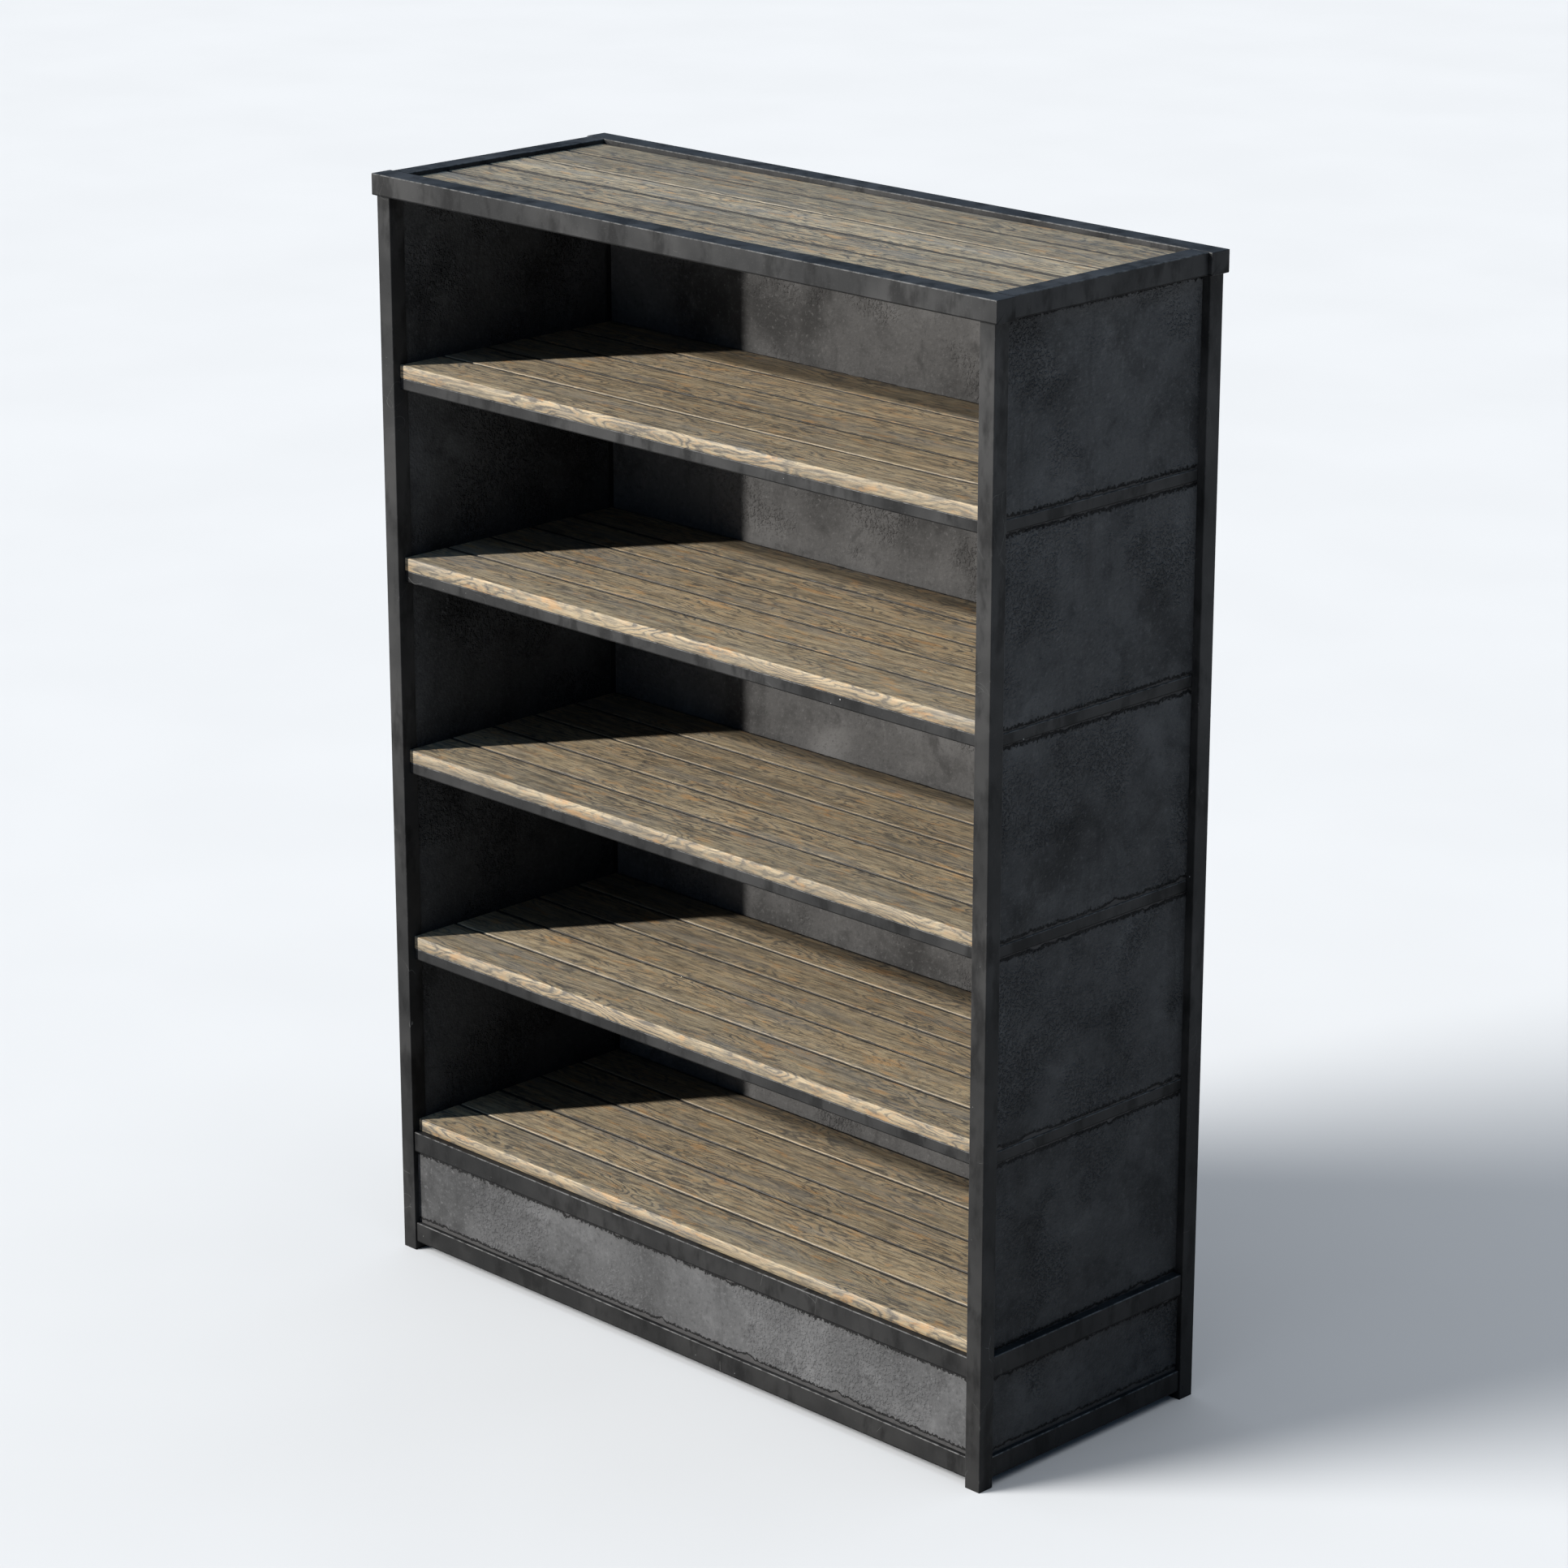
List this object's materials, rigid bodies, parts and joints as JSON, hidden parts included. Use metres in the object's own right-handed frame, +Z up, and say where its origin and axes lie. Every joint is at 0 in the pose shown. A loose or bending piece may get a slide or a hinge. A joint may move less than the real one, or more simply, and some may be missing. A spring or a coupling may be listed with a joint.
{
  "type": "bookcase",
  "caption": "Open-fronted bookcase with a square-tube steel frame, dark board walls over a closed plinth, and weathered plank shelves that rest on ledges and draw out at the front.",
  "frame": {"origin": "on the floor, under the middle of the bookcase's bounding box", "axes": "+X to the right along the width seen from the front, +Y from the open front to the back, +Z up"},
  "size_m": [1.35, 0.507, 1.85],
  "materials": {
    "frame_steel": "dark grey satin paint, worn light along the edges, with small chips",
    "panel_board": "board with a mottled dark grey mineral coat that flakes off in jagged lines along its edges",
    "oak": "weathered grey-brown oak with fine grain, rusty patches and pale worn edges",
    "screw_steel": "zinc-plated steel",
    "cap_plastic": "black matt plastic"
  },
  "bodies": {
    "carcass": {"back_panel": "panel_board", "base_rail_front": "frame_steel", "base_rail_left": "frame_steel", "base_rail_rear": "frame_steel", "base_rail_right": "frame_steel", "cross_rail_left_1": "frame_steel", "cross_rail_left_2": "frame_steel", "cross_rail_left_3": "frame_steel", "cross_rail_left_4": "frame_steel", "cross_rail_rear_1": "frame_steel", "cross_rail_rear_2": "frame_steel", "cross_rail_rear_3": "frame_steel", "cross_rail_rear_4": "frame_steel", "cross_rail_right_1": "frame_steel", "cross_rail_right_2": "frame_steel", "cross_rail_right_3": "frame_steel", "cross_rail_right_4": "frame_steel", "deck_bearers": "frame_steel", "floor_boards": "oak", "foot_caps": "cap_plastic", "plinth_panel_front": "panel_board", "plinth_panel_left": "panel_board", "plinth_panel_rear": "panel_board", "plinth_panel_right": "panel_board", "plinth_rail_front": "frame_steel", "plinth_rail_left": "frame_steel", "plinth_rail_rear": "frame_steel", "plinth_rail_right": "frame_steel", "post_front_left": "frame_steel", "post_front_right": "frame_steel", "post_rear_left": "frame_steel", "post_rear_right": "frame_steel", "shelf_ledges": "frame_steel", "side_panel_left_1": "panel_board", "side_panel_left_2": "panel_board", "side_panel_left_3": "panel_board", "side_panel_left_4": "panel_board", "side_panel_left_5": "panel_board", "side_panel_right_1": "panel_board", "side_panel_right_2": "panel_board", "side_panel_right_3": "panel_board", "side_panel_right_4": "panel_board", "side_panel_right_5": "panel_board", "top_boards": "oak", "top_rail_front": "frame_steel", "top_rail_left": "frame_steel", "top_rail_rear": "frame_steel", "top_rail_right": "frame_steel"},
    "shelf_1": {"shelf_1_frame": "frame_steel", "shelf_1_boards": "oak", "shelf_1_screws": "screw_steel"},
    "shelf_2": {"shelf_2_frame": "frame_steel", "shelf_2_boards": "oak", "shelf_2_screws": "screw_steel"},
    "shelf_3": {"shelf_3_frame": "frame_steel", "shelf_3_boards": "oak", "shelf_3_screws": "screw_steel"},
    "shelf_4": {"shelf_4_frame": "frame_steel", "shelf_4_boards": "oak", "shelf_4_screws": "screw_steel"}
  },
  "joints": [
    {"name": "shelf_1_slide", "type": "slide", "parent": "carcass", "child": "shelf_1", "axis": [0, -1, 0], "range_m": [0, 0.48]},
    {"name": "shelf_2_slide", "type": "slide", "parent": "carcass", "child": "shelf_2", "axis": [0, -1, 0], "range_m": [0, 0.48]},
    {"name": "shelf_3_slide", "type": "slide", "parent": "carcass", "child": "shelf_3", "axis": [0, -1, 0], "range_m": [0, 0.48]},
    {"name": "shelf_4_slide", "type": "slide", "parent": "carcass", "child": "shelf_4", "axis": [0, -1, 0], "range_m": [0, 0.48]}
  ]
}
